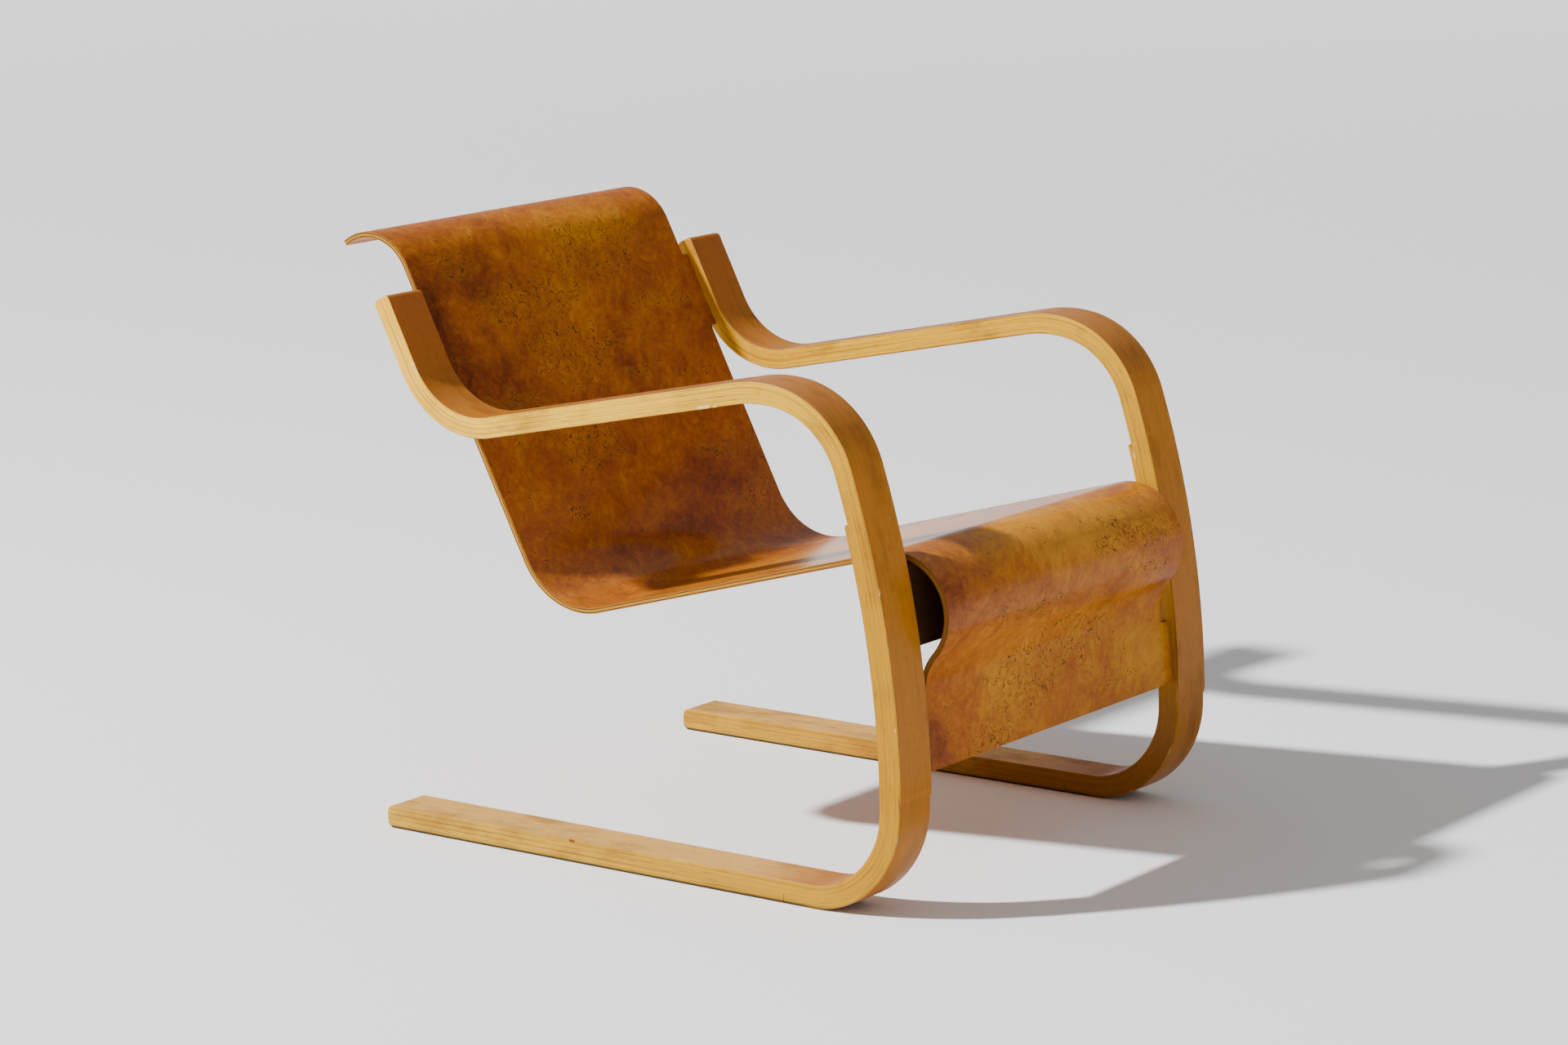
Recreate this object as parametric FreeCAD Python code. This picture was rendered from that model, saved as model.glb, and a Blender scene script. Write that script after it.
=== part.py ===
import FreeCAD, Part
import math
import os

# Cantilever lounge chair: two bent laminated side frames that carry one moulded plywood shell.
# X is the width, Y the depth, Z the height. The front faces -Y and the runners stand on Z = 0.
# Lengths are in millimetres and angles in degrees.

# Whole chair
overall_width = 600.0
strip_width = 56.0

# Layers of the side frames
face_lamella_thickness = 1.5
ply_thickness = 5.5
leg_lamella_thickness = 4.0
edge_rounding = 2.2

# Side frame profile, along the outer face of the plies, from the floor to the top of the upright
runner_length = 596.0
joint_setback = 34.0
lower_bend_radius = 119.0
lower_bend_turn = 89.9
leg_radius = 1138.0
leg_length = 363.0
front_step_rise = 10.0
rear_step_rise = 310.0
top_front_radius = 117.5
top_front_turn = 62.7
top_rear_radius = 164.5
arm_slope = 11.3
arm_length = 347.5
back_bend_radius = 93.0
upright_angle = 63.5
upright_length = 86.0
runner_tip_radius = 9.0
upright_tip_radius = 6.0
step_radius = 3.0

# Layers of the seat shell, counted from the sitter's side
veneer_thickness = 0.8
cross_ply_thickness = 1.3
core_thickness = 2.3

# Shell profile, along the sitter's side, from the lower front edge to the rolled top
panel_bottom_height = 150.0
panel_recess = 7.0
panel_angle = 84.4
front_ear_length = 71.0
panel_neck = 9.0
sweep_radius = 56.0
sweep_turn = 47.1
nose_radius = 65.0
seat_slope = 15.1
seat_length = 400.0
seat_back_radius = 85.5
back_angle = 62.9
lower_back_length = 217.0
back_ear_length = 91.0
upper_back_length = 49.0
roll_radius = 63.0
roll_turn = 99.5
tip_radius = 2.0

# Shell outline, seen from above
side_gap_front = 15.0
side_gap_rear = 8.0
ear_notch_radius = 4.0
tongue_length = 8.0
groove_clearance = 0.3

# Front rail and its dowels
rail_rise = 216.0
rail_height = 96.0
rail_thickness = 17.0
rail_recess = 5.0
rail_rounding = 2.0
rail_seat_clearance = 0.3
dowel_radius = 4.0
dowel_length = 50.0
dowel_spacing = 44.0
dowel_hole_clearance = 0.05
dowel_end_clearance = 0.5

# Working allowances: how far a cutting shape runs past the piece it cuts, and how close two faces count as one
overrun = 2.0
joining_tolerance = 0.001

half_width = overall_width / 2
inner_face = half_width - strip_width
ply_count = 4
main_thickness = ply_thickness * ply_count
full_thickness = main_thickness + leg_lamella_thickness
sole_thickness = ply_thickness * ply_count / 2
shell_thickness = 2 * veneer_thickness + 2 * cross_ply_thickness + core_thickness


# Profile tools. A path is a chain of straight runs and tangent bends in the YZ plane.
def point(y, z):
    return FreeCAD.Vector(0, y, z)


def along(angle):
    return point(math.cos(math.radians(angle)), math.sin(math.radians(angle)))


def right_of(angle):
    return point(math.sin(math.radians(angle)), -math.cos(math.radians(angle)))


def run(length):
    return {"length": length, "radius": None, "turn": 0.0}


def bend(radius, turn):
    return {"length": None, "radius": radius, "turn": turn}


def bend_by_length(radius, length):
    return bend(radius, -math.degrees(length / radius))


def lay_path(start, angle, stretches):
    path = []
    for stretch in stretches:
        placed = dict(stretch, start=start, angle=angle)
        if stretch["radius"] is None:
            placed["end"] = start + along(angle) * stretch["length"]
        else:
            side = math.copysign(1.0, stretch["turn"])
            placed["centre"] = start - right_of(angle) * side * stretch["radius"]
            spoke = right_of(angle + stretch["turn"]) * side * stretch["radius"]
            placed["end"] = placed["centre"] + spoke
        path.append(placed)
        start = placed["end"]
        angle = angle + stretch["turn"]
    return path


def point_at(stretch, share, depth):
    # A point that lies depth to the right of the path, at a share of one stretch.
    angle = stretch["angle"] + stretch["turn"] * share
    if stretch["radius"] is None:
        return stretch["start"] + along(angle) * stretch["length"] * share + right_of(angle) * depth
    side = math.copysign(1.0, stretch["turn"])
    return stretch["centre"] + right_of(angle) * (side * stretch["radius"] + depth)


def path_edges(path, depth):
    edges = []
    for stretch in path:
        first = point_at(stretch, 0.0, depth)
        last = point_at(stretch, 1.0, depth)
        if stretch["radius"] is None:
            edges.append(Part.LineSegment(first, last).toShape())
        else:
            edges.append(Part.Arc(first, point_at(stretch, 0.5, depth), last).toShape())
    return edges


def extrude_between(face, x_low, x_high):
    moved = face.copy()
    moved.translate(FreeCAD.Vector(x_low, 0, 0))
    return moved.extrude(FreeCAD.Vector(x_high - x_low, 0, 0))


def band(path, depth_low, depth_high, x_low, x_high):
    # A curved board that follows the path between two depths.
    low_edges = path_edges(path, depth_low)
    high_edges = path_edges(path, depth_high)
    first_cap = Part.LineSegment(point_at(path[0], 0.0, depth_low), point_at(path[0], 0.0, depth_high))
    last_cap = Part.LineSegment(point_at(path[-1], 1.0, depth_low), point_at(path[-1], 1.0, depth_high))
    outline = low_edges + [last_cap.toShape()] + high_edges[::-1] + [first_cap.toShape()]
    return extrude_between(Part.Face(Part.Wire(Part.__sortEdges__(outline))), x_low, x_high)


def corner_waste(corner, towards_a, towards_b, radius, x_low, x_high):
    # What is planed off a square corner to leave it rounded.
    middle = corner + (towards_a + towards_b) * radius * (1 - math.sqrt(0.5))
    near_a = corner + towards_a * radius
    near_b = corner + towards_b * radius
    outline = [
        Part.LineSegment(corner, near_a).toShape(),
        Part.Arc(near_a, middle, near_b).toShape(),
        Part.LineSegment(near_b, corner).toShape(),
    ]
    return extrude_between(Part.Face(Part.Wire(outline)), x_low, x_high)


def round_side_edges(board, x_low, x_high, radius):
    # Rounds the edges where the long faces of a board meet its two sides.
    chosen = []
    for edge in board.Edges:
        box = edge.BoundBox
        flat = box.XLength < 1e-6
        if flat and min(abs(box.XMin - x_low), abs(box.XMin - x_high)) < 1e-6:
            chosen.append(edge)
    return board.makeFillet(radius, chosen)


def joined(pieces):
    if len(pieces) == 1:
        return pieces[0]
    return pieces[0].fuse(pieces[1:], joining_tolerance).removeSplitter()


# Side frame profile
lower_heading = 180.0 - lower_bend_turn
leg_heading = lower_heading - math.degrees(leg_length / leg_radius)
top_heading = leg_heading - top_front_turn
bend_start_y = 0.0
runner_rear_y = bend_start_y + runner_length

frame_path = lay_path(point(runner_rear_y, 0.0), 180.0, [
    run(runner_length - joint_setback),
    run(joint_setback),
    bend(lower_bend_radius, -lower_bend_turn),
    bend_by_length(leg_radius, front_step_rise),
    bend_by_length(leg_radius, rear_step_rise - front_step_rise),
    bend_by_length(leg_radius, leg_length - rear_step_rise),
    bend(top_front_radius, -top_front_turn),
    bend(top_rear_radius, -(top_heading + arm_slope)),
    run(arm_length),
    bend(back_bend_radius, upright_angle + arm_slope),
    run(upright_length),
])
sole_part = slice(0, 1)
toe_part = slice(1, 4)
lower_part = slice(0, 4)
middle_part = slice(4, 5)
upper_part = slice(5, 11)

# Seat shell profile
shell_start = point(bend_start_y - lower_bend_radius + panel_recess, panel_bottom_height)
nose_turn = panel_angle + sweep_turn + seat_slope
shell_path = lay_path(shell_start, panel_angle, [
    run(front_ear_length),
    run(panel_neck),
    bend(sweep_radius, sweep_turn),
    bend(nose_radius, -nose_turn),
    run(seat_length),
    bend(seat_back_radius, back_angle + seat_slope),
    run(lower_back_length),
    run(back_ear_length),
    run(upper_back_length),
    bend(roll_radius, -roll_turn),
])
front_ear = shell_path[0]
back_ear = shell_path[7]


def zone(part, depth_low, depth_high):
    # One stretch of the side frame at full thickness, with its ends and long edges rounded.
    board = band(frame_path[part], depth_low, depth_high, inner_face, half_width)
    if part is lower_part:
        rear_top = point(runner_rear_y, depth_high)
        rear_bottom = point(runner_rear_y, depth_low)
        for corner, inward in ((rear_top, point(0, -1)), (rear_bottom, point(0, 1))):
            waste = corner_waste(corner, inward, point(-1, 0), runner_tip_radius,
                                 inner_face - overrun, half_width + overrun)
            board = board.cut(waste)
    if part is upper_part:
        upright = frame_path[-1]
        back_along = along(upright["angle"]) * -1
        for depth, side in ((depth_low, 1), (depth_high, -1)):
            corner = point_at(upright, 1.0, depth)
            waste = corner_waste(corner, back_along, right_of(upright["angle"]) * side, upright_tip_radius,
                                 inner_face - overrun, half_width + overrun)
            board = board.cut(waste)
    return round_side_edges(board, inner_face, half_width, edge_rounding)


def layer(depth_low, depth_high, cuts):
    # One lamella: its own depth of each rounded zone that it runs through.
    pieces = []
    for board, part in cuts:
        tool = band(frame_path[part], depth_low, depth_high, inner_face - overrun, half_width + overrun)
        pieces.append(board.common(tool))
    return joined(pieces)


def sheet_block(stretch, depth_low, depth_high, extra, x_low, x_high):
    # A straight slab beside one straight stretch of a path, made longer by extra at both ends.
    longer = lay_path(stretch["start"] - along(stretch["angle"]) * extra, stretch["angle"],
                      [run(stretch["length"] + 2 * extra)])
    return band(longer, depth_low, depth_high, x_low, x_high)


# Front rail, set within the thickness of the legs and planed to the underside of the seat
leg_bend = bend_by_length(leg_radius, rail_rise)
leg_to_rail = lay_path(frame_path[3]["start"], lower_heading, [leg_bend])
rail_angle = lower_heading + leg_bend["turn"]
rail_depth = rail_recess - face_lamella_thickness
rail_stretch = lay_path(leg_to_rail[0]["end"] - along(rail_angle) * rail_height / 2, rail_angle,
                        [run(rail_height)])[0]


def seat_space():
    # Everything on the sitter's side of the seat's underside, near the nose.
    nose_path = shell_path[2:5]
    return band(nose_path, -nose_radius / 2, shell_thickness + rail_seat_clearance,
                -half_width, half_width)


def make_front_rail():
    blank = sheet_block(rail_stretch, rail_depth, rail_depth + rail_thickness, 0.0, -inner_face, inner_face)
    edges = []
    for edge in blank.Edges:
        if edge.BoundBox.XLength > inner_face and edge.BoundBox.ZMax < rail_stretch["end"].z - rail_thickness:
            edges.append(edge)
    rail = blank.makeFillet(rail_rounding, edges).cut(seat_space())
    return rail.cut(joined_cylinders(dowel_hole_clearance, dowel_end_clearance))


def dowel_axes():
    # Height positions of the two dowels at each end of the rail, on its middle plane.
    middle = point_at(rail_stretch, 0.5, rail_depth + rail_thickness / 2)
    step = along(rail_angle) * dowel_spacing / 2
    drop = along(rail_angle) * rail_thickness / 4
    return [middle - drop - step, middle - drop + step]


def dowels(radial_clearance, end_clearance, side):
    pieces = []
    for axis_point in dowel_axes():
        start = FreeCAD.Vector(side * inner_face - dowel_length / 2 - end_clearance, axis_point.y, axis_point.z)
        pieces.append(Part.makeCylinder(dowel_radius + radial_clearance, dowel_length + 2 * end_clearance,
                                        start, FreeCAD.Vector(1, 0, 0)))
    return pieces


def joined_cylinders(radial_clearance, end_clearance):
    left = dowels(radial_clearance, end_clearance, 1)
    right = dowels(radial_clearance, end_clearance, -1)
    return Part.makeCompound(left + right)


def make_frame():
    lower = zone(lower_part, 0.0, full_thickness)
    middle = zone(middle_part, -face_lamella_thickness, full_thickness)
    upper = zone(upper_part, -face_lamella_thickness, main_thickness)
    every_zone = [(middle, middle_part), (upper, upper_part)]

    layers = {}
    layers["face_lamella"] = layer(-face_lamella_thickness - overrun, 0.0, every_zone)
    for number, name in enumerate(("outer_ply", "outer_core_ply")):
        low = ply_thickness * number
        layers[name] = layer(low, low + ply_thickness, [(lower, toe_part)] + every_zone)
    for number, name in enumerate(("inner_core_ply", "inner_ply")):
        low = sole_thickness + ply_thickness * number
        layers[name] = layer(low, low + ply_thickness, [(lower, lower_part)] + every_zone)
    layers["runner_sole"] = layer(0.0, sole_thickness, [(lower, sole_part)])
    leg_lamella = layer(main_thickness, full_thickness, [(lower, lower_part), (middle, middle_part)])
    step = frame_path[4]
    step_angle = step["angle"] + step["turn"]
    step_corner = point_at(step, 1.0, full_thickness)
    step_waste = corner_waste(step_corner, along(step_angle) * -1, right_of(step_angle) * -1, step_radius,
                              inner_face - overrun, half_width + overrun)
    layers["leg_lamella"] = leg_lamella.cut(step_waste)

    sockets = [
        sheet_block(ear, -groove_clearance, shell_thickness + groove_clearance, groove_clearance,
                    inner_face - overrun, inner_face + tongue_length + groove_clearance)
        for ear in (front_ear, back_ear)
    ]
    sockets = sockets + dowels(dowel_hole_clearance, dowel_end_clearance, 1)
    for name, solid in layers.items():
        for socket in sockets:
            if solid.BoundBox.intersect(socket.BoundBox) and solid.common(socket).Volume > 0:
                solid = solid.cut(socket)
        layers[name] = solid
    return layers


def shell_outline():
    # The shell seen from above: slightly narrower at the front, with an ear at each joint.
    front_y = shell_start.y - nose_radius
    rear_y = runner_rear_y + 2 * roll_radius
    front_half = inner_face - side_gap_front
    rear_half = inner_face - side_gap_rear
    corners = [(-front_half, front_y), (front_half, front_y), (rear_half, rear_y), (-rear_half, rear_y)]
    ring = [FreeCAD.Vector(x, y, 0) for x, y in corners]
    body = Part.Face(Part.makePolygon(ring + ring[:1])).extrude(FreeCAD.Vector(0, 0, overall_width * 2))
    tongue_face = inner_face + tongue_length
    for ear in (front_ear, back_ear):
        extra = 0.0
        body = body.fuse(sheet_block(ear, -overrun, shell_thickness + overrun, extra, -tongue_face, tongue_face))
    return body


def notch_fillers():
    # Rounded inner corners where each ear stands out from the narrower sheet.
    fillers = []
    for ear, ends in ((front_ear, (1.0,)), (back_ear, (0.0, 1.0))):
        for share in ends:
            outward = along(ear["angle"]) * (1 if share else -1)
            root = point_at(ear, share, 0.0)
            gap_share = (root.y - shell_start.y) / (runner_rear_y - shell_start.y)
            edge_x = inner_face - side_gap_front + (side_gap_front - side_gap_rear) * gap_share
            for side in (-1, 1):
                corner = FreeCAD.Vector(side * edge_x, root.y, root.z)
                sideways = FreeCAD.Vector(side, 0, 0)
                fillers.append(notch_filler(corner, outward, sideways, right_of(ear["angle"])))
    return fillers


def notch_filler(corner, outward, sideways, through):
    start = corner - through * overrun - sideways * overrun - outward * overrun
    far_out = corner + outward * ear_notch_radius - through * overrun
    far_side = corner + sideways * ear_notch_radius - through * overrun
    middle = corner + (outward + sideways) * ear_notch_radius * (1 - math.sqrt(0.5)) - through * overrun
    outline = [
        Part.LineSegment(start, far_out - sideways * overrun).toShape(),
        Part.LineSegment(far_out - sideways * overrun, far_out).toShape(),
        Part.Arc(far_out, middle, far_side).toShape(),
        Part.LineSegment(far_side, far_side - outward * overrun).toShape(),
        Part.LineSegment(far_side - outward * overrun, start).toShape(),
    ]
    return Part.Face(Part.Wire(outline)).extrude(through * (shell_thickness + 2 * overrun))


def make_shell():
    outline = shell_outline()
    for filler in notch_fillers():
        outline = outline.fuse(filler)
    tongue_face = inner_face + tongue_length
    thicknesses = [
        ("shell_face_veneer", veneer_thickness),
        ("shell_upper_cross_ply", cross_ply_thickness),
        ("shell_core_ply", core_thickness),
        ("shell_lower_cross_ply", cross_ply_thickness),
        ("shell_back_veneer", veneer_thickness),
    ]
    tip = shell_path[-1]
    tip_angle = tip["angle"] + tip["turn"]
    plies = {}
    depth = 0.0
    for name, thickness in thicknesses:
        sheet = band(shell_path, depth, depth + thickness, -tongue_face, tongue_face)
        for face_depth, side in ((0.0, 1), (shell_thickness, -1)):
            corner = point_at(tip, 1.0, face_depth)
            waste = corner_waste(corner, along(tip_angle) * -1, right_of(tip_angle) * side, tip_radius,
                                 -overall_width, overall_width)
            if sheet.common(waste).Volume > 0:
                sheet = sheet.cut(waste)
        plies[name] = sheet.common(outline).removeSplitter()
        depth = depth + thickness
    return plies


def mirrored(shape):
    return shape.mirror(FreeCAD.Vector(0, 0, 0), FreeCAD.Vector(1, 0, 0))


def only_solids(shape):
    if len(shape.Solids) == 1:
        return shape.Solids[0]
    return Part.makeCompound(shape.Solids)


def build():
    nodes = {}
    for name, solid in make_frame().items():
        nodes["left_" + name] = solid
        nodes["right_" + name] = mirrored(solid)
    nodes.update(make_shell())
    nodes["front_rail"] = make_front_rail()
    nodes["front_rail_dowels"] = joined_cylinders(0.0, 0.0)
    return nodes


nodes = build()

# The origin is on the floor under the middle of the whole chair's depth.
whole = Part.makeCompound(list(nodes.values()))
box = whole.optimalBoundingBox()
shift = FreeCAD.Vector(0, -(box.YMin + box.YMax) / 2, 0)

os.makedirs("parts", exist_ok=True)
for name, shape in nodes.items():
    solid = only_solids(shape)
    solid.translate(shift)
    solid.exportStep(os.path.join("parts", name + ".step"))
    print(name, "solids", len(solid.Solids), "valid", solid.isValid(), "volume cm3", round(solid.Volume / 1000, 1))
print("size", round(box.XLength, 1), round(box.YLength, 1), round(box.ZMax, 1), "shift", round(shift.y, 2))
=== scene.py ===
import math

import bmesh
import bpy
from mathutils import Matrix, Vector


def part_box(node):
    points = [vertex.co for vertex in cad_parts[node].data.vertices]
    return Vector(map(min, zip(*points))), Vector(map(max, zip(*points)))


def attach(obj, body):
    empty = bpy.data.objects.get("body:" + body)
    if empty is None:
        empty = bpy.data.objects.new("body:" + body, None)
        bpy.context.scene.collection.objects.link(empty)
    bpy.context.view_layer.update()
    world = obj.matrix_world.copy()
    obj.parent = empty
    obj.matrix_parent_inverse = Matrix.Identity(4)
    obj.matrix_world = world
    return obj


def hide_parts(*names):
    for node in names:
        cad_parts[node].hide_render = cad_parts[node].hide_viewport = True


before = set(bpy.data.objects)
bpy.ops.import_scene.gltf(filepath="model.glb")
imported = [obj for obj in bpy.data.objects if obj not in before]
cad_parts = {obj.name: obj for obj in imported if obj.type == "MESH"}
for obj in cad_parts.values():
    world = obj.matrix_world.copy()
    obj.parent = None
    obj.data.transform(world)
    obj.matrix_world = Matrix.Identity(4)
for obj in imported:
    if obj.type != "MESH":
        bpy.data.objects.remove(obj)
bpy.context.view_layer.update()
bpy.ops.object.select_all(action="DESELECT")
print("frame loaded:", len(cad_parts), "nodes")

close = 1e-5   # places nearer than this are one place


# lengths in metres, turns in degrees, left turns positive; both guides are seen from the chair's left side
frameGuide = {
    "heading": 180.0,
    "runner": 0.562, "toe": 0.034,
    "lowerBend": (0.119, -89.9),
    "legRadius": 1.138, "legLow": 0.010, "legMiddle": 0.300, "legHigh": 0.053,
    "topFrontBend": (0.1175, -62.7),
    "topRearBend": (0.1645, -20.424),
    "arm": 0.3475,
    "backBend": (0.093, 74.8),
    "upright": 0.086,
    "step": 2.5,       # degrees between two cuts across a bend
    "legStep": 1.3,
    "tilt": -90.0,
}

shellGuide = {
    "heading": 84.4,
    "bottomHeight": 0.150, "recess": 0.007,
    "frontEar": 0.071, "panelNeck": 0.009,
    "sweep": (0.056, 47.1),
    "nose": (0.065, -146.6),
    "seat": 0.400,
    "backBend": (0.0855, 78.0),
    "lowerBack": 0.217, "backEar": 0.091, "upperBack": 0.049,
    "roll": (0.063, -99.5),
    "step": 2.5,
    "tilt": 90.0,
}


def layGuide(start, heading, stretches):
    # each stretch is (length, None, 0) or (radius, turn, step); returns the rows and where each stretch ends
    y, z = start
    run = 0.0
    rows = [(y, z, run)]
    marks = [run]
    for size, turn, step in stretches:
        cuts = 1 if turn is None else max(2, round(abs(turn) / step))
        chord = size if turn is None else 2 * size * math.sin(math.radians(abs(turn) / cuts / 2))
        delta = 0.0 if turn is None else turn / cuts
        for _ in range(cuts):
            middle = math.radians(heading + delta / 2)
            y += chord * math.cos(middle)
            z += chord * math.sin(middle)
            run += chord
            heading += delta
            rows.append((y, z, run))
        marks.append(run)
    return rows, marks


def drawGuide(name, rows, tilt):
    curve = bpy.data.curves.new(name, "CURVE")
    curve.dimensions = "3D"
    curve.twist_mode = "MINIMUM"
    spline = curve.splines.new("POLY")
    spline.points.add(len(rows) - 1)
    for point, (y, z, run) in zip(spline.points, rows):
        point.co = (0, y, z, 1)
        point.tilt = math.radians(tilt)   # turns the blank's upper face to the outer side of the guide
    guide = bpy.data.objects.new(name, curve)
    bpy.context.scene.collection.objects.link(guide)
    return guide


path = frameGuide
legTurn = [-math.degrees(path[key] / path["legRadius"]) for key in ("legLow", "legMiddle", "legHigh")]
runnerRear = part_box("right_runner_sole")[1][1]
frameRows, frameMarks = layGuide((runnerRear, 0.0), path["heading"], [
    (path["runner"], None, 0), (path["toe"], None, 0),
    (*path["lowerBend"], path["step"]),
    (path["legRadius"], legTurn[0], path["legStep"]),
    (path["legRadius"], legTurn[1], path["legStep"]),
    (path["legRadius"], legTurn[2], path["legStep"]),
    (*path["topFrontBend"], path["step"]), (*path["topRearBend"], path["step"]),
    (path["arm"], None, 0),
    (*path["backBend"], path["step"]),
    (path["upright"], None, 0),
])
frameCurve = drawGuide("frameGuide", frameRows, path["tilt"])

path = shellGuide
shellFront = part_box("right_outer_ply")[0][1] + path["recess"]
shellRows, shellMarks = layGuide((shellFront, path["bottomHeight"]), path["heading"], [
    (path["frontEar"], None, 0), (path["panelNeck"], None, 0),
    (*path["sweep"], path["step"]), (*path["nose"], path["step"]),
    (path["seat"], None, 0),
    (*path["backBend"], path["step"]),
    (path["lowerBack"], None, 0), (path["backEar"], None, 0), (path["upperBack"], None, 0),
    (*path["roll"], path["step"]),
])
shellCurve = drawGuide("shellGuide", shellRows, path["tilt"])
print("guides drawn:", len(frameRows), "and", len(shellRows), "rows")


def editMode(on):
    if (bpy.context.object.mode == "EDIT") != on:
        bpy.ops.object.mode_set(mode="EDIT" if on else "OBJECT")


def pickEdges(piece, test):
    # selects the edges whose two ends both pass the test
    editMode(True)
    bpy.ops.mesh.select_mode(type="EDGE")
    bpy.ops.mesh.select_all(action="DESELECT")
    mesh = bmesh.from_edit_mesh(piece.data)
    count = 0
    for edge in mesh.edges:
        if test(edge.verts[0].co, edge.verts[1].co):
            edge.select_set(True)
            count += 1
    bmesh.update_edit_mesh(piece.data)
    return count


def pickVertices(piece, test):
    editMode(True)
    bpy.ops.mesh.select_mode(type="VERT")
    bpy.ops.mesh.select_all(action="DESELECT")
    mesh = bmesh.from_edit_mesh(piece.data)
    for vertex in mesh.verts:
        vertex.select_set(test(vertex.co))
    bmesh.update_edit_mesh(piece.data)


def pickFaces(piece, test):
    editMode(True)
    bpy.ops.mesh.select_mode(type="FACE")
    bpy.ops.mesh.select_all(action="DESELECT")
    mesh = bmesh.from_edit_mesh(piece.data)
    for face in mesh.faces:
        face.select_set(test(face.calc_center_median()))
    bmesh.update_edit_mesh(piece.data)


def cutPlane(place, normal, trim=False):
    # trim also takes away what lies on the normal's side and closes the cut
    bpy.ops.mesh.select_all(action="SELECT")
    bpy.ops.mesh.bisect(plane_co=place, plane_no=normal, use_fill=trim, clear_outer=trim)


def sliceRows(piece, rows, low, high):
    # one cut across the blank at each row of its guide
    editMode(True)
    for y, z, run in rows:
        if low + close < run < high - close:
            cutPlane((0, run, 0), (0, 1, 0))


def planeCorner(run, height, along, upward, radius):
    # planes a square end corner round with a fan of flat cuts
    middle = Vector((0, run + along * radius, height + upward * radius))
    for degrees in strip["cornerCuts"]:
        angle = math.radians(degrees)
        away = Vector((0, -along * math.cos(angle), -upward * math.sin(angle)))
        cutPlane(middle + away * radius, away, trim=True)


def keepBlankPlace(piece):
    # the grain follows the flat blank: (across, along, height) before bending
    editMode(False)
    mesh = piece.data
    place = mesh.attributes.new("blank", "FLOAT_VECTOR", "POINT")
    flat = [0.0] * (3 * len(mesh.vertices))
    mesh.vertices.foreach_get("co", flat)
    place.data.foreach_set("vector", flat)


def useModifier(piece, kind, **settings):
    editMode(False)
    bpy.context.view_layer.objects.active = piece
    modifier = piece.modifiers.new(kind.lower(), kind)
    for key, value in settings.items():
        setattr(modifier, key, value)
    bpy.ops.object.modifier_apply(modifier=modifier.name)


def bendOn(piece, guide):
    useModifier(piece, "CURVE", object=guide, deform_axis="POS_Y")


def smoothPiece(piece, degrees=40):
    editMode(False)
    bpy.ops.object.select_all(action="DESELECT")
    piece.select_set(True)
    bpy.context.view_layer.objects.active = piece
    bpy.ops.object.shade_smooth_by_angle(angle=math.radians(degrees))
    useModifier(piece, "WEIGHTED_NORMAL", keep_sharp=True, weight=60)
    piece.select_set(False)


strip = {
    "outerFace": 0.300, "innerFace": 0.244,
    "faceTop": 0.0015, "ply": 0.0055, "legLamella": 0.004,        # thicknesses
    "arris": 0.0020, "faceArris": 0.0013, "segments": 3,          # rounded long edges
    "runnerTip": 0.009, "uprightTip": 0.006, "stepTip": 0.003,    # rounded ends
    "cornerCuts": (9, 27, 45, 63, 81),                            # the flat cuts of a rounded end
    "feather": 0.010, "featherEdge": 0.0003,                      # the planed lower end of the facing
}
mainDepth = 4 * strip["ply"]
fullDepth = mainDepth + strip["legLamella"]
startRun, endRun = frameMarks[0], frameMarks[-1]
buttRun, frontStep, rearStep = frameMarks[1], frameMarks[4], frameMarks[5]

# name: first and last run, upper and lower depth, and where its long edges show, as (depth, from run, to run)
lamellae = {
    "face_lamella": (frontStep, endRun, -strip["faceTop"], 0.0, [(-strip["faceTop"], frontStep, endRun)]),
    "outer_ply": (buttRun, endRun, 0.0, strip["ply"], [(0.0, buttRun, frontStep)]),
    "outer_core_ply": (buttRun, endRun, strip["ply"], 2 * strip["ply"], []),
    "inner_core_ply": (startRun, endRun, 2 * strip["ply"], 3 * strip["ply"], []),
    "inner_ply": (startRun, endRun, 3 * strip["ply"], mainDepth, [(mainDepth, rearStep, endRun)]),
    "leg_lamella": (startRun, rearStep, mainDepth, fullDepth, [(fullDepth, startRun, rearStep)]),
    "runner_sole": (startRun, buttRun, 0.0, 2 * strip["ply"], [(0.0, startRun, buttRun)]),
}


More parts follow.
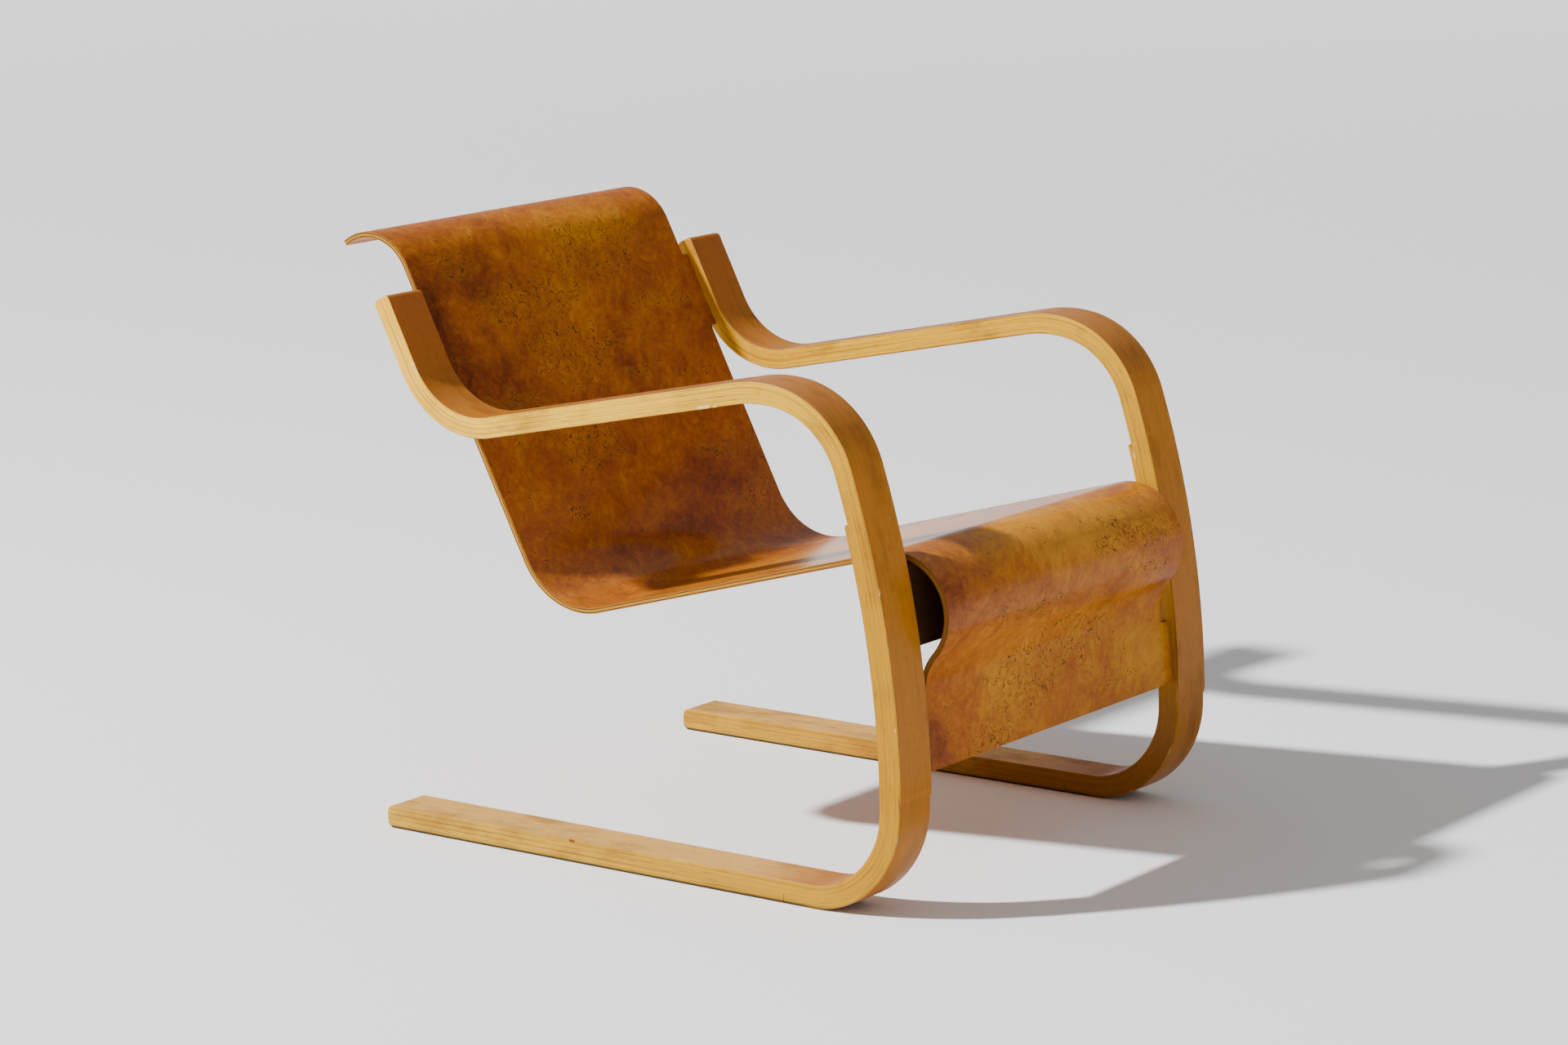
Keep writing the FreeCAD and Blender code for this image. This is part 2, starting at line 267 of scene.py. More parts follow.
def makeLamella(side, name):
    low, high, upper, lower, shows = lamellae[name]
    middle = side * (strip["outerFace"] + strip["innerFace"]) / 2
    half = (strip["outerFace"] - strip["innerFace"]) / 2
    bpy.ops.mesh.primitive_cube_add(size=1)
    piece = bpy.context.object
    node = ("left_" if side > 0 else "right_") + name
    piece.name = node + "_strip"
    editMode(True)
    bpy.ops.transform.resize(value=(2 * half, high - low, lower - upper))
    bpy.ops.transform.translate(value=(middle, (low + high) / 2, -(upper + lower) / 2))
    if low == startRun:   # rounded runner end
        planeCorner(startRun, -fullDepth, 1, 1, strip["runnerTip"])
        planeCorner(startRun, 0.0, 1, -1, strip["runnerTip"])
    if high == endRun:   # rounded top of the upright
        planeCorner(endRun, strip["faceTop"], -1, -1, strip["uprightTip"])
        planeCorner(endRun, -mainDepth, -1, 1, strip["uprightTip"])
    if name == "leg_lamella":
        planeCorner(rearStep, -fullDepth, -1, 1, strip["stepTip"])
    if name == "face_lamella":   # its lower end is planed down to the ply under it
        slope = strip["faceTop"] / strip["feather"]
        cutPlane((0, frontStep, strip["featherEdge"]), (0, -slope, 1), trim=True)
    if name in ("outer_ply", "inner_ply"):   # a cut where the rounded edge starts or stops
        cutPlane((0, frontStep if name == "outer_ply" else rearStep, 0), (0, 1, 0))

    tip = max(strip["runnerTip"], strip["uprightTip"]) + 10 * close

    def level(a, b, depth):
        return abs(a.z + depth) < close and abs(b.z + depth) < close

    def showing(a, b):
        # an edge of a side face that stays open to the air, so it is rounded
        if abs(abs(a.x - middle) - half) > close or abs(a.x - b.x) > close:
            return False
        atStart = low == startRun and max(a.y, b.y) < startRun + tip
        atEnd = high == endRun and min(a.y, b.y) > endRun - tip
        if atStart or atEnd:
            glued = [depth for depth in (upper, lower) if level(a, b, depth)]
            return not glued or any(abs(glued[0] - depth) < close for depth, _, _ in shows)
        for depth, first, last in shows:
            if level(a, b, depth):
                return min(a.y, b.y) > first - close and max(a.y, b.y) < last + close
        return False

    if pickEdges(piece, showing):
        width = strip["faceArris"] if name == "face_lamella" else strip["arris"]
        bpy.ops.mesh.bevel(offset=width, segments=strip["segments"], affect="EDGES", clamp_overlap=True)
    sliceRows(piece, frameRows, low, high)
    keepBlankPlace(piece)
    bendOn(piece, frameCurve)
    smoothPiece(piece)
    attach(piece, "root")
    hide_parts(node)
    "frame_face" if name == "face_lamella" else "frame_lamella"
    return piece


framePieces = {}
for side in (-1, 1):
    for name in lamellae:
        framePieces[side, name] = makeLamella(side, name)
print("side frames bent:", len(framePieces), "lamellae")


shell = {
    "frameFace": 0.244, "tongue": 0.008,
    "frontGap": 0.015, "rearGap": 0.008,     # daylight beside the sheet at the front and at the rear
    "notchRadius": 0.004, "notchRows": (0.0, 0.08, 0.22, 0.42, 0.68), "rim": 0.0005,
    "gapFrontY": 0.065, "gapRearY": 0.126,   # how far beyond the panel and the runner the taper is laid out
    "flatCuts": (0.2, 0.4, 0.6, 0.8),        # shares of the long flats where they are cut across
    "longCuts": (-0.18, -0.12, -0.06, 0.0, 0.06, 0.12, 0.18),
}
shellPlies = [
    ("shell_face_veneer", 0.0008), ("shell_upper_cross_ply", 0.0013), ("shell_core_ply", 0.0023),
    ("shell_lower_cross_ply", 0.0013), ("shell_back_veneer", 0.0008),
]
earRuns = [(shellMarks[0], shellMarks[1]), (shellMarks[7], shellMarks[8])]
earEnds = [(earRuns[0][1], 1), (earRuns[1][0], -1), (earRuns[1][1], 1)]   # and which way the notch lies


def makePattern():
    # one flat sheet, cut across at every row, bent, and trimmed to its tapered outline except at the ears
    half = shell["frameFace"] + shell["tongue"]
    length = shellMarks[-1]
    bpy.ops.mesh.primitive_plane_add(size=1)
    pattern = bpy.context.object
    pattern.name = "shellPattern"
    editMode(True)
    bpy.ops.transform.resize(value=(2 * half, length, 1))
    bpy.ops.transform.translate(value=(0, length / 2, 0))
    sliceRows(pattern, shellRows, 0.0, length)
    notchCuts = [(0, 0, end + outward * share * shell["notchRadius"])
                 for end, outward in earEnds for share in shell["notchRows"][1:]]
    sliceRows(pattern, notchCuts, 0.0, length)
    for start, stop in ((shellMarks[4], shellMarks[5]), (shellMarks[6], shellMarks[7])):
        for share in shell["flatCuts"]:
            cutPlane((0, start + (stop - start) * share, 0), (0, 1, 0))
    for across in shell["longCuts"]:
        cutPlane((across, 0, 0), (1, 0, 0))
    keepBlankPlace(pattern)
    bendOn(pattern, shellCurve)
    frontY = shellFront - shell["gapFrontY"]
    rearY = runnerRear + shell["gapRearY"]
    spread = (shell["frontGap"] - shell["rearGap"]) / (rearY - frontY)
    widthAtFront = shell["frameFace"] - shell["frontGap"]
    editMode(True)
    for side in (-1, 1):
        cutPlane((side * widthAtFront, frontY, 0), (side, -spread, 0))
    ears = [(placeAt(low), placeAt(high)) for low, high in earRuns]

    def wasted(c):   # beside the outline and not on an ear
        if abs(c.x) < widthAtFront + (c.y - frontY) * spread:
            return False
        return not any(min(a[0], b[0]) < c.y < max(a[0], b[0]) and a[1] < c.z < b[1] for a, b in ears)

    pickFaces(pattern, wasted)
    bpy.ops.mesh.delete(type="FACE")
    radius = shell["notchRadius"]
    for end, outward in earEnds:   # rounded inner corners beside the ears
        for share in shell["notchRows"]:
            y, z = placeAt(end + outward * share * radius)
            reach = radius - math.sqrt(radius ** 2 - (radius * (1 - share)) ** 2)
            for side in (-1, 1):
                corner = Vector((side * (widthAtFront + (y - frontY) * spread), y, z))
                pickVertices(pattern, lambda place: (place - corner).length < 20 * close)
                bpy.ops.transform.translate(value=(side * reach, 0, 0))
    editMode(False)
    return pattern


def placeAt(run):
    # where a run along the shell's guide lies in the side view
    for (y0, z0, low), (y1, z1, high) in zip(shellRows, shellRows[1:]):
        if run <= high + close:
            share = (run - low) / (high - low)
            return y0 + (y1 - y0) * share, z0 + (z1 - z0) * share


def makeShellPly(pattern, name, depth, thickness):
    piece = pattern.copy()
    piece.data = pattern.data.copy()
    piece.name = name + "_sheet"
    bpy.context.scene.collection.objects.link(piece)
    bpy.ops.object.select_all(action="DESELECT")
    piece.select_set(True)
    if depth:
        useModifier(piece, "DISPLACE", strength=-depth, mid_level=0.0, direction="NORMAL")
    useModifier(piece, "SOLIDIFY", thickness=thickness, offset=-1.0, use_even_offset=False)
    if "veneer" in name:
        useModifier(piece, "BEVEL", width=shell["rim"], segments=2,
                    limit_method="ANGLE", angle_limit=math.radians(60))
    smoothPiece(piece)
    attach(piece, "root")
    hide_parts(name)
    "shell_veneer" if "veneer" in name else "shell_core"
    return piece


pattern = makePattern()
shellPieces = {}
plyDepth = 0.0
for name, thickness in shellPlies:
    shellPieces[name] = makeShellPly(pattern, name, plyDepth, thickness)
    plyDepth += thickness
for helper in (pattern, frameCurve, shellCurve):
    bpy.data.objects.remove(helper)
print("shell moulded:", len(shellPieces), "plies")


class Signal:
    # one socket of a material, so that shader maths reads as plain sums
    def __init__(self, tree, socket):
        self.tree = tree
        self.socket = socket

    def maths(self, operation, *others):
        made = self.tree.nodes.new("ShaderNodeMath")
        made.operation = operation
        for socket, value in zip(made.inputs, (self, *others)):
            if isinstance(value, Signal):
                self.tree.links.new(value.socket, socket)
            else:
                socket.default_value = value
        return Signal(self.tree, made.outputs[0])

    def __add__(self, other):
        return self.maths("ADD", other)

    def __sub__(self, other):
        return self.maths("SUBTRACT", other)

    def __rsub__(self, other):
        return (self * -1.0).maths("ADD", other)

    def __mul__(self, other):
        return self.maths("MULTIPLY", other)

    def __abs__(self):
        return self.maths("ABSOLUTE")

    __radd__ = __add__
    __rmul__ = __mul__


class Finish:
    def __init__(self, name, shelf=bpy.data.materials, shader="Principled BSDF"):
        self.block = shelf.new(name)
        self.block.use_nodes = True
        self.tree = self.block.node_tree
        self.shader = self.tree.nodes[shader]

    def node(self, kind, settings=None, sockets=None, output=0):
        made = self.tree.nodes.new(kind)
        for key, value in (settings or {}).items():
            if key == "stops":
                elements = made.color_ramp.elements
                while len(elements) < len(value):
                    elements.new(1.0)
                for element, (position, colour) in zip(elements, value):
                    element.position = position
                    element.color = (*colour, 1.0)
            else:
                setattr(made, key, value)
        for key, value in (sockets or {}).items():
            if isinstance(value, Signal):
                self.tree.links.new(value.socket, made.inputs[key])
            else:
                made.inputs[key].default_value = value
        return Signal(self.tree, made.outputs[output])

    def place(self):
        return self.node("ShaderNodeAttribute", {"attribute_name": "blank"}, output=1)

    def split(self, vector):
        made = self.node("ShaderNodeSeparateXYZ", sockets={0: vector}).socket.node
        return [Signal(self.tree, socket) for socket in made.outputs]

    def vector(self, operation, *values, output=0):
        return self.node("ShaderNodeVectorMath", {"operation": operation}, dict(enumerate(values)), output)

    def turned(self, vector, degrees, size):
        # coordinates turned by an angle on the sheet and counted in features of this size
        return self.node("ShaderNodeMapping", {"vector_type": "TEXTURE"},
                         {"Vector": vector, "Rotation": (0, 0, math.radians(degrees)), "Scale": (*size, 1.0)})

    def noise(self, vector, scale, detail, roughness=0.5, distortion=0.0, output=0):
        return self.node("ShaderNodeTexNoise", sockets={
            "Vector": vector, "Scale": scale, "Detail": detail, "Roughness": roughness,
            "Distortion": distortion}, output=output)

    def streaks(self, place, perMetre, detail, roughness, distortion=0.0):
        # noise that repeats this often across, along and through the wood
        return self.noise(self.vector("MULTIPLY", place, perMetre), 1.0, detail, roughness, distortion)

    def wander(self, vector, scale, reach, detail=3.0):
        # coordinates pushed about by a slow noise, so that edges turn ragged
        push = self.vector("SUBTRACT", self.noise(vector, scale, detail, output=1), (0.5, 0.5, 0.5))
        return self.vector("ADD", vector, self.vector("MULTIPLY", push, (reach, reach, reach)))

    def ease(self, value, low, high, start=0.0, stop=1.0):
        return self.node("ShaderNodeMapRange", {"interpolation_type": "SMOOTHSTEP"},
                         {"Value": value, "From Min": low, "From Max": high, "To Min": start, "To Max": stop})

    def blots(self, place, marks, core=0.25):
        # soft spots, each (centre, reach, strength), added together; each is full within its core
        total = 0.0
        for centre, reach, strength in marks:
            away = self.vector("DIVIDE", self.vector("SUBTRACT", place, centre), reach)
            total = total + self.ease(self.vector("LENGTH", away, output=1), core, 1.0, strength, 0.0)
        return total

    def ramp(self, value, stops):
        return self.node("ShaderNodeValToRGB", {"stops": stops}, {0: value})

    def paint(self, factor, below, above):
        sockets = {0: factor}
        for key, colour in ((6, below), (7, above)):
            sockets[key] = colour if isinstance(colour, Signal) else (*colour, 1.0)
        return self.node("ShaderNodeMix", {"data_type": "RGBA"}, sockets, output=2)

    def bump(self, height, distance, strength):
        sockets = {"Height": height, "Distance": distance, "Strength": strength}
        return self.node("ShaderNodeBump", sockets=sockets)

    def set(self, **sockets):
        for key, value in sockets.items():
            socket = self.shader.inputs[key.replace("_", " ")]
            if isinstance(value, Signal):
                self.tree.links.new(value.socket, socket)
            else:
                socket.default_value = value

    def on(self, piece):
        piece.data.materials.clear()
        piece.data.materials.append(self.block)


birch = {
    # colours along the strip, as (run in metres, colour): its edges, their inner side at the front,
    # its outer facing and its bare faces
    "edge": [
        (0.0, (0.56, 0.320, 0.030)), (0.60, (0.48, 0.245, 0.010)), (0.80, (0.44, 0.208, 0.004)),
        (1.12, (0.47, 0.224, 0.004)), (1.25, (0.67, 0.365, 0.012)), (1.62, (0.84, 0.475, 0.022)),
        (1.80, (0.86, 0.465, 0.028)), (1.90, (0.80, 0.425, 0.022))],
    # the inner side is darker from run 0.36 to 0.95: partly its own darker wood, partly painted shade where
    # the panel and seat shade the runner's front, the toe and the lower bend
    "inner": [
        (0.0, (0.54, 0.300, 0.020)), (0.36, (0.42, 0.200, 0.012)), (0.50, (0.23, 0.090, 0.008)),
        (0.74, (0.24, 0.088, 0.007)), (0.95, (0.46, 0.215, 0.007)), (1.25, (0.64, 0.345, 0.012)),
        (1.60, (0.72, 0.390, 0.016)), (1.90, (0.58, 0.260, 0.012))],
    "facing": [
        (0.74, (0.40, 0.140, 0.010)), (1.10, (0.46, 0.163, 0.010)), (1.22, (0.42, 0.150, 0.022)),
        (1.36, (0.38, 0.145, 0.038)), (1.62, (0.34, 0.128, 0.024)), (1.72, (0.42, 0.145, 0.014)),
        (1.90, (0.38, 0.112, 0.018))],
    "bare": [
        (0.0, (0.62, 0.345, 0.075)), (0.50, (0.64, 0.360, 0.09)), (0.60, (0.40, 0.156, 0.030)),
        (0.72, (0.39, 0.138, 0.011)), (1.20, (0.44, 0.175, 0.012)), (1.90, (0.38, 0.135, 0.012))],
    "line": (0.090, 0.034, 0.006), "dark": (0.17, 0.054, 0.009), "worn": (0.76, 0.52, 0.24),
    "specular": 0.05, "coat": 0.10, "coatRoughness": 0.16, "bump": (0.0002, 0.35),

    # each marking of the wood: repeats per metre across, along and through the strip, detail, roughness
    "patch": ((20.0, 9.0, 20.0), 4.0, 0.6),
    "grain": ((20.0, 4.0, 420.0), 5.0, 0.65),
    "fine": ((20.0, 38.0, 850.0), 3.0, 0.6),
    "veins": ((4.0, 0.7, 330.0), 1.0, 0.5),
    "figure": ((260.0, 6.0, 40.0), 5.0, 0.62, 0.3),
    "pores": ((1300.0, 60.0, 40.0), 2.0, 0.5),
    "wear": ((120.0, 22.0, 120.0), 6.0, 0.7),
    "scuffs": ((90.0, 40.0, 260.0), 5.0, 0.7),

    # and how it shows: from this value to that one, its strength goes from the third number to the fourth
    "patchShows": (0.50, 0.72, 0.0, 0.50), "roughness": (0.3, 0.7, 0.33, 0.48),
    "grainShows": (0.42, 0.66, 0.0, 0.26),
    "fineShows": (0.56, 0.68, 0.0, 0.42),
    "veinLevel": 0.54, "veinShows": (0.006, 0.022, 0.38, 0.0),
    "figureShows": (0.40, 0.85, 0.0, 0.38),
    "poresShow": (0.60, 0.72, 0.0, 0.65),
    "wearShows": (0.48, 0.66, 0.10, 0.60),
    "scuffsShow": (0.62, 0.72, 0.0, 0.5),
    "wornShows": (0.1, 0.9, 0.0, 0.85),
    "glueShows": (0.02, 0.070, 1.0, 0.0), "gluePatch": (0.40, 0.60, 0.20, 0.80),
    "buttShows": (0.0002, 0.0007, 0.9, 0.0), "soleFade": 0.0002,
    "outerSide": (0.25, 0.29), "edgeShows": (0.60, 0.90), "arrisShows": (0.05, 0.20),

    # painted contact shadow along the lower rim of the runners, where they rest on the floor: its upper
    # limit, where it ends at the toe, and its strength
    "contactShadow": (0.012, 0.009, 0.006), "contactShadowHeight": (-0.0050, -0.0015), "contactShadowEnds": (0.58, 0.64, 1.0, 0.0),
    "contactShadowStrength": 0.95,

    # scuffed, chipped or stained spots of the near frame: (across, run, height), reach and strength
    "ragged": (220.0, 0.006),
    "chips": [
        ((-0.300, 1.376, -0.0205), (0.004, 0.012, 0.0035), 1.0),
        ((-0.300, 1.362, -0.0215), (0.004, 0.005, 0.003), 0.8),
        ((-0.2995, 1.018, 0.0010), (0.002, 0.006, 0.0020), 0.7),
        ((-0.300, 1.130, -0.0100), (0.004, 0.004, 0.012), 0.24),
        ((-0.300, 0.873, -0.0010), (0.002, 0.004, 0.002), 0.6),
        ((-0.300, 1.800, -0.0010), (0.004, 0.020, 0.004), 0.5)],
    "nick": [((-0.300, 0.2715, -0.0250), (0.003, 0.007, 0.003), 1.0)],
    "nickShows": (0.2, 0.6),
}


def finishFrame(name, faceStops):
    finish = Finish(name)
    place = finish.place()
    across, along, height = finish.split(place)
    share = along * (1.0 / endRun)

    def alongStrip(key):
        return finish.ramp(share, [(run / endRun, colour) for run, colour in birch[key]])

    def marking(key):
        return finish.streaks(place, *birch[key])

    normal = finish.node("ShaderNodeNewGeometry", output=1)
    sideways = finish.split(normal)[0]
    onEdge = finish.ease(abs(sideways), *birch["edgeShows"])
    arris = sideways * sideways
    arris = finish.ease(arris * (1.0 - arris), *birch["arrisShows"])
    patch = marking("patch")

    # the edge: fine brown grain lines along it, a glue line at each ply, and the butt joint of the runner
    grain = marking("grain")
    veins = abs(marking("veins") - birch["veinLevel"])
    outerSide = finish.ease(abs(across), *birch["outerSide"])
    # the inner sides take the inner colours, with their painted shade at the runner's front and the lower
    # bend
    edge = finish.paint(outerSide, alongStrip("inner"), alongStrip("edge"))
    edge = finish.paint(finish.ease(grain, *birch["grainShows"]), edge, birch["dark"])
    edge = finish.paint(finish.ease(marking("fine"), *birch["fineShows"]), edge, birch["line"])
    edge = finish.paint(finish.ease(veins, *birch["veinShows"]), edge, birch["line"])
    plies = height * (-1.0 / strip["ply"])
    fromGlue = finish.node("ShaderNodeMath", {"operation": "PINGPONG"}, {0: plies, 1: 0.5})
    glue = finish.ease(fromGlue, *birch["glueShows"]) * finish.ease(patch, *birch["gluePatch"])
    soleTop = -2 * strip["ply"]
    inSole = finish.ease(height, soleTop - birch["soleFade"], soleTop + birch["soleFade"])
    butt = finish.ease(abs(along - buttRun), *birch["buttShows"]) * inSole
    edge = finish.paint(glue, edge, birch["line"])
    edge = finish.paint(butt, edge, birch["line"])

    # the broad faces: long soft figure and short dark pores
    pores = marking("pores")
    face = alongStrip(faceStops)
    face = finish.paint(finish.ease(marking("figure"), *birch["figureShows"]), face, birch["dark"])
    face = finish.paint(finish.ease(pores, *birch["poresShow"]), face, birch["line"])

    # age: darker patches, worn arrises, scuffs and chips; then a painted contact shadow on the rim that rests
    # on the floor
    colour = finish.paint(onEdge, face, edge)
    colour = finish.paint(finish.ease(patch, *birch["patchShows"]), colour, birch["dark"])
    wear = marking("wear")
    ragged = finish.wander(place, *birch["ragged"])
    worn = arris * finish.ease(wear, *birch["wearShows"]) + finish.blots(ragged, birch["chips"])
    worn = worn + finish.ease(marking("scuffs"), *birch["scuffsShow"]) * onEdge
    colour = finish.paint(finish.ease(worn, *birch["wornShows"]), colour, birch["worn"])
    nick = finish.ease(finish.blots(ragged, birch["nick"]), *birch["nickShows"])
    colour = finish.paint(nick, colour, birch["dark"])
    # painted contact shadow: the runners' lower rim is darkened where it meets the floor
    contactShadow = finish.ease(height, *birch["contactShadowHeight"]) * finish.ease(along, *birch["contactShadowEnds"])
    colour = finish.paint(contactShadow * birch["contactShadowStrength"], colour, birch["contactShadow"])
    finish.set(Base_Color=colour, Specular_IOR_Level=birch["specular"],
               Coat_Weight=birch["coat"], Coat_Roughness=birch["coatRoughness"],
               Roughness=finish.ease(patch, *birch["roughness"]),
               Normal=finish.bump(grain + pores + wear * arris, *birch["bump"]))
    return finish


frameFinish = finishFrame("varnishedBirch", "bare")
faceFinish = finishFrame("agedBirchFacing", "facing")
for (side, name), piece in framePieces.items():
    (faceFinish if name == "face_lamella" else frameFinish).on(piece)


plyEdge = {
    "light": (0.42, 0.195, 0.010), "shade": (0.30, 0.125, 0.008),    # the core ply
    "dark": (0.085, 0.030, 0.006), "brown": (0.18, 0.068, 0.009),    # the cross plies
    "frontShade": (0.20, 0.078, 0.014), "frontShadeStrength": 0.8,               # painted shade on the sheet's rim at the front, where that edge lies in shade
    "frontShadeEnds": (0.30, 0.42),                                        # runs where it fades out
    "grain": ((60.0, 40.0, 60.0), 4.0, 0.6), "grainShows": (0.35, 0.7),
    "roughness": 0.42, "specular": 0.15,
}

burl = {
    "deep": (0.105, 0.024, 0.006), "brown": (0.26, 0.060, 0.009),
    "amber": (0.40, 0.116, 0.010), "gold": (0.60, 0.245, 0.012),
    "tones": (0.12, 0.36, 0.56, 0.86),    # where each of the four stands in the tone
    "line": (0.080, 0.026, 0.005),
    "roughness": (0.3, 0.7, 0.27, 0.38),  # from this mottle to that one, and between these two
    "specular": 0.03, "bump": (0.0003, 0.5), "rimShows": (0.6, 0.9),

    # the seat is rubbed to a higher polish than the panel and the back: runs of the change, and its amounts
    "coatRoughness": 0.11, "seatPolish": (0.09, 0.27, 0.05, 0.36), "backPolish": (0.80, 0.93, 0.0, -0.28),

    # how far the figure strays: features per metre and reach
    "slow": (9.0, 0.070), "ragged": (45.0, 0.022),
    "bendsStray": (70.0, 0.012, 2.0), "wispsStray": (90.0, 0.010, 2.0),

    # markings that lean: degrees on the sheet, length and width of a streak, detail, roughness, distortion
    "flames": (48.0, (0.055, 0.010), 4.0, 0.6, 0.4), "silk": (80.0, (0.060, 0.0016), 3.0, 0.55, 0.0),
    "specks": (0.0, (0.0022, 0.0012), 1.0, 0.5, 0.0),
    # and even ones: features per metre, detail, roughness, distortion
    "mottle": (26.0, 5.0, 0.62), "dapple": (130.0, 4.0, 0.6), "density": (55.0, 3.0, 0.6),
    "breaks": (70.0, 2.0, 0.6), "bends": (78.0, 0.0, 0.5, 0.4), "wisps": (125.0, 0.0, 0.5, 0.3),
    "middleTone": 0.50, "mottleShare": 0.55, "flamesShare": 0.28, "silkShare": 0.16, "dappleShare": 0.50,

    # clouds of the figure: (across, run), half width, half length, lighter or darker; the two dark ones at
    # runs 0.79 and 0.85 are painted shade in the crease of the back bend
    "clouds": [
        (-0.225, 1.080, 0.060, 0.110, -0.30), (-0.170, 0.990, 0.090, 0.070, -0.20),
        (-0.140, 1.140, 0.070, 0.060, -0.16), (0.070, 1.175, 0.150, 0.050, 0.22),
        (0.020, 1.085, 0.050, 0.060, 0.12), (0.060, 1.000, 0.020, 0.080, -0.14),
        (-0.200, 0.880, 0.080, 0.070, 0.05), (0.130, 0.850, 0.110, 0.060, -0.16),
        (0.020, 0.790, 0.180, 0.030, -0.18), (-0.215, 0.190, 0.050, 0.050, -0.16),
        (-0.020, 0.150, 0.200, 0.020, -0.10), (0.200, 0.040, 0.090, 0.070, 0.22),
        (-0.080, 0.060, 0.080, 0.060, 0.10), (-0.225, 0.020, 0.045, 0.050, -0.20),
        (0.040, 0.240, 0.250, 0.075, 0.30), (-0.030, 0.520, 0.280, 0.220, 0.22),
        (0.030, 0.080, 0.300, 0.160, 0.11)],

    # where the curled bark lines gather: (across, run), half width, half length
    "curls": [
        (0.070, 1.140, 0.130, 0.050), (-0.060, 1.100, 0.120, 0.045), (-0.020, 1.030, 0.110, 0.050),
        (0.160, 1.070, 0.070, 0.012), (-0.160, 1.160, 0.060, 0.030), (-0.150, 0.960, 0.090, 0.050),
        (0.080, 0.985, 0.060, 0.012), (-0.060, 0.915, 0.070, 0.035), (-0.120, 0.850, 0.030, 0.015),
        (0.150, 0.880, 0.050, 0.020), (0.170, 0.815, 0.060, 0.025), (0.140, 0.205, 0.120, 0.030),
        (-0.060, 0.150, 0.130, 0.028), (0.150, 0.160, 0.070, 0.018), (0.040, 0.095, 0.130, 0.035),
        (-0.050, 0.060, 0.090, 0.040), (-0.110, 0.012, 0.080, 0.025), (0.130, 0.030, 0.060, 0.010)],
    "gather": (0.10, 0.42), "clusterShare": 0.8, "densityShare": 2.0, "clusterGold": 0.18,
    # contour lines of the noise make the curls: level, then inner and outer half width and strength
    "lines": [(0.59, 0.006, 0.027, 1.0), (0.42, 0.006, 0.025, 0.9)], "wispLines": (0.60, 0.008, 0.042, 0.9),
    "brokenAt": (0.44, 0.52), "linesShow": (0.05, 0.7, 0.0, 0.78),
    "specksShow": (0.70, 0.76, 0.0, 0.5), "specksGather": (0.5, 0.6),
}


def finishVeneer():
    finish = Finish("varnishedBurl")
    place = finish.place()
    along = finish.split(place)[1]
    slow = finish.wander(place, *burl["slow"])
    ragged = finish.wander(slow, *burl["ragged"])

    def leaning(vector, key):
        degrees, size, *settings = burl[key]
        return finish.noise(finish.turned(vector, degrees, size), 1.0, *settings)

    def spots(rows):
        # blots of the sheet, whose height doesn't count
        return finish.blots(ragged, [((x, y, 0.0), (wide, long, 1.0), amount)
                                     for x, y, wide, long, amount in rows])

    def contour(noise, level, inner, outer, strength):
        return finish.ease(abs(noise - level), inner, outer, strength, 0.0)

    # tone of the figure: large clouds (in the crease of the back bend they are painted shade), flames that
    # lean across the sheet, and a fine silky streak
    mottle = finish.noise(slow, *burl["mottle"])
    tone = burl["middleTone"] + spots(burl["clouds"]) + (mottle - 0.5) * burl["mottleShare"]
    tone = tone + (leaning(slow, "flames") - 0.5) * burl["flamesShare"]
    tone = tone + (leaning(slow, "silk") - 0.5) * burl["silkShare"]
    tone = tone + (finish.noise(ragged, *burl["dapple"]) - 0.5) * burl["dappleShare"]
    shades = (burl["deep"], burl["brown"], burl["amber"], burl["gold"])
    colour = finish.ramp(tone, list(zip(burl["tones"], shades)))

    # curls: thin broken contour lines, only inside their clusters
    density = finish.noise(place, *burl["density"])
    cluster = spots([(*curl, 1.0) for curl in burl["curls"]]) * burl["clusterShare"]
    cluster = finish.ease(cluster + (density - 0.5) * burl["densityShare"], *burl["gather"])
    bends = finish.noise(finish.wander(place, *burl["bendsStray"]), *burl["bends"])
    wisps = finish.noise(finish.wander(place, *burl["wispsStray"]), *burl["wisps"])
    curl = contour(bends, *burl["lines"][0]) + contour(bends, *burl["lines"][1])
    wisp = contour(wisps, *burl["wispLines"])
    broken = finish.ease(finish.noise(place, *burl["breaks"]), *burl["brokenAt"])
    lines = (curl * broken + wisp * (1.0 - broken)) * cluster
    colour = finish.paint(cluster * burl["clusterGold"], colour, burl["gold"])
    colour = finish.paint(finish.ease(lines, *burl["linesShow"]), colour, burl["line"])
    specks = finish.ease(leaning(place, "specks"), *burl["specksShow"])
    colour = finish.paint(specks * finish.ease(density, *burl["specksGather"]), colour, burl["line"])

    # the sheet's own rim, darkened towards the front by painted shade
    sideways = finish.split(finish.node("ShaderNodeNewGeometry", output=1))[0]
    rim = finish.paint(finish.ease(along, *plyEdge["frontShadeEnds"]), plyEdge["frontShade"], plyEdge["light"])
    colour = finish.paint(finish.ease(abs(sideways), *burl["rimShows"]), colour, rim)
    polish = finish.ease(along, *burl["seatPolish"]) + finish.ease(along, *burl["backPolish"])
    finish.set(Base_Color=colour, Specular_IOR_Level=burl["specular"],
               Coat_Weight=polish, Coat_Roughness=burl["coatRoughness"],
               Roughness=finish.ease(mottle, *burl["roughness"]),
               Normal=finish.bump(1.0 - lines, *burl["bump"]))
    return finish


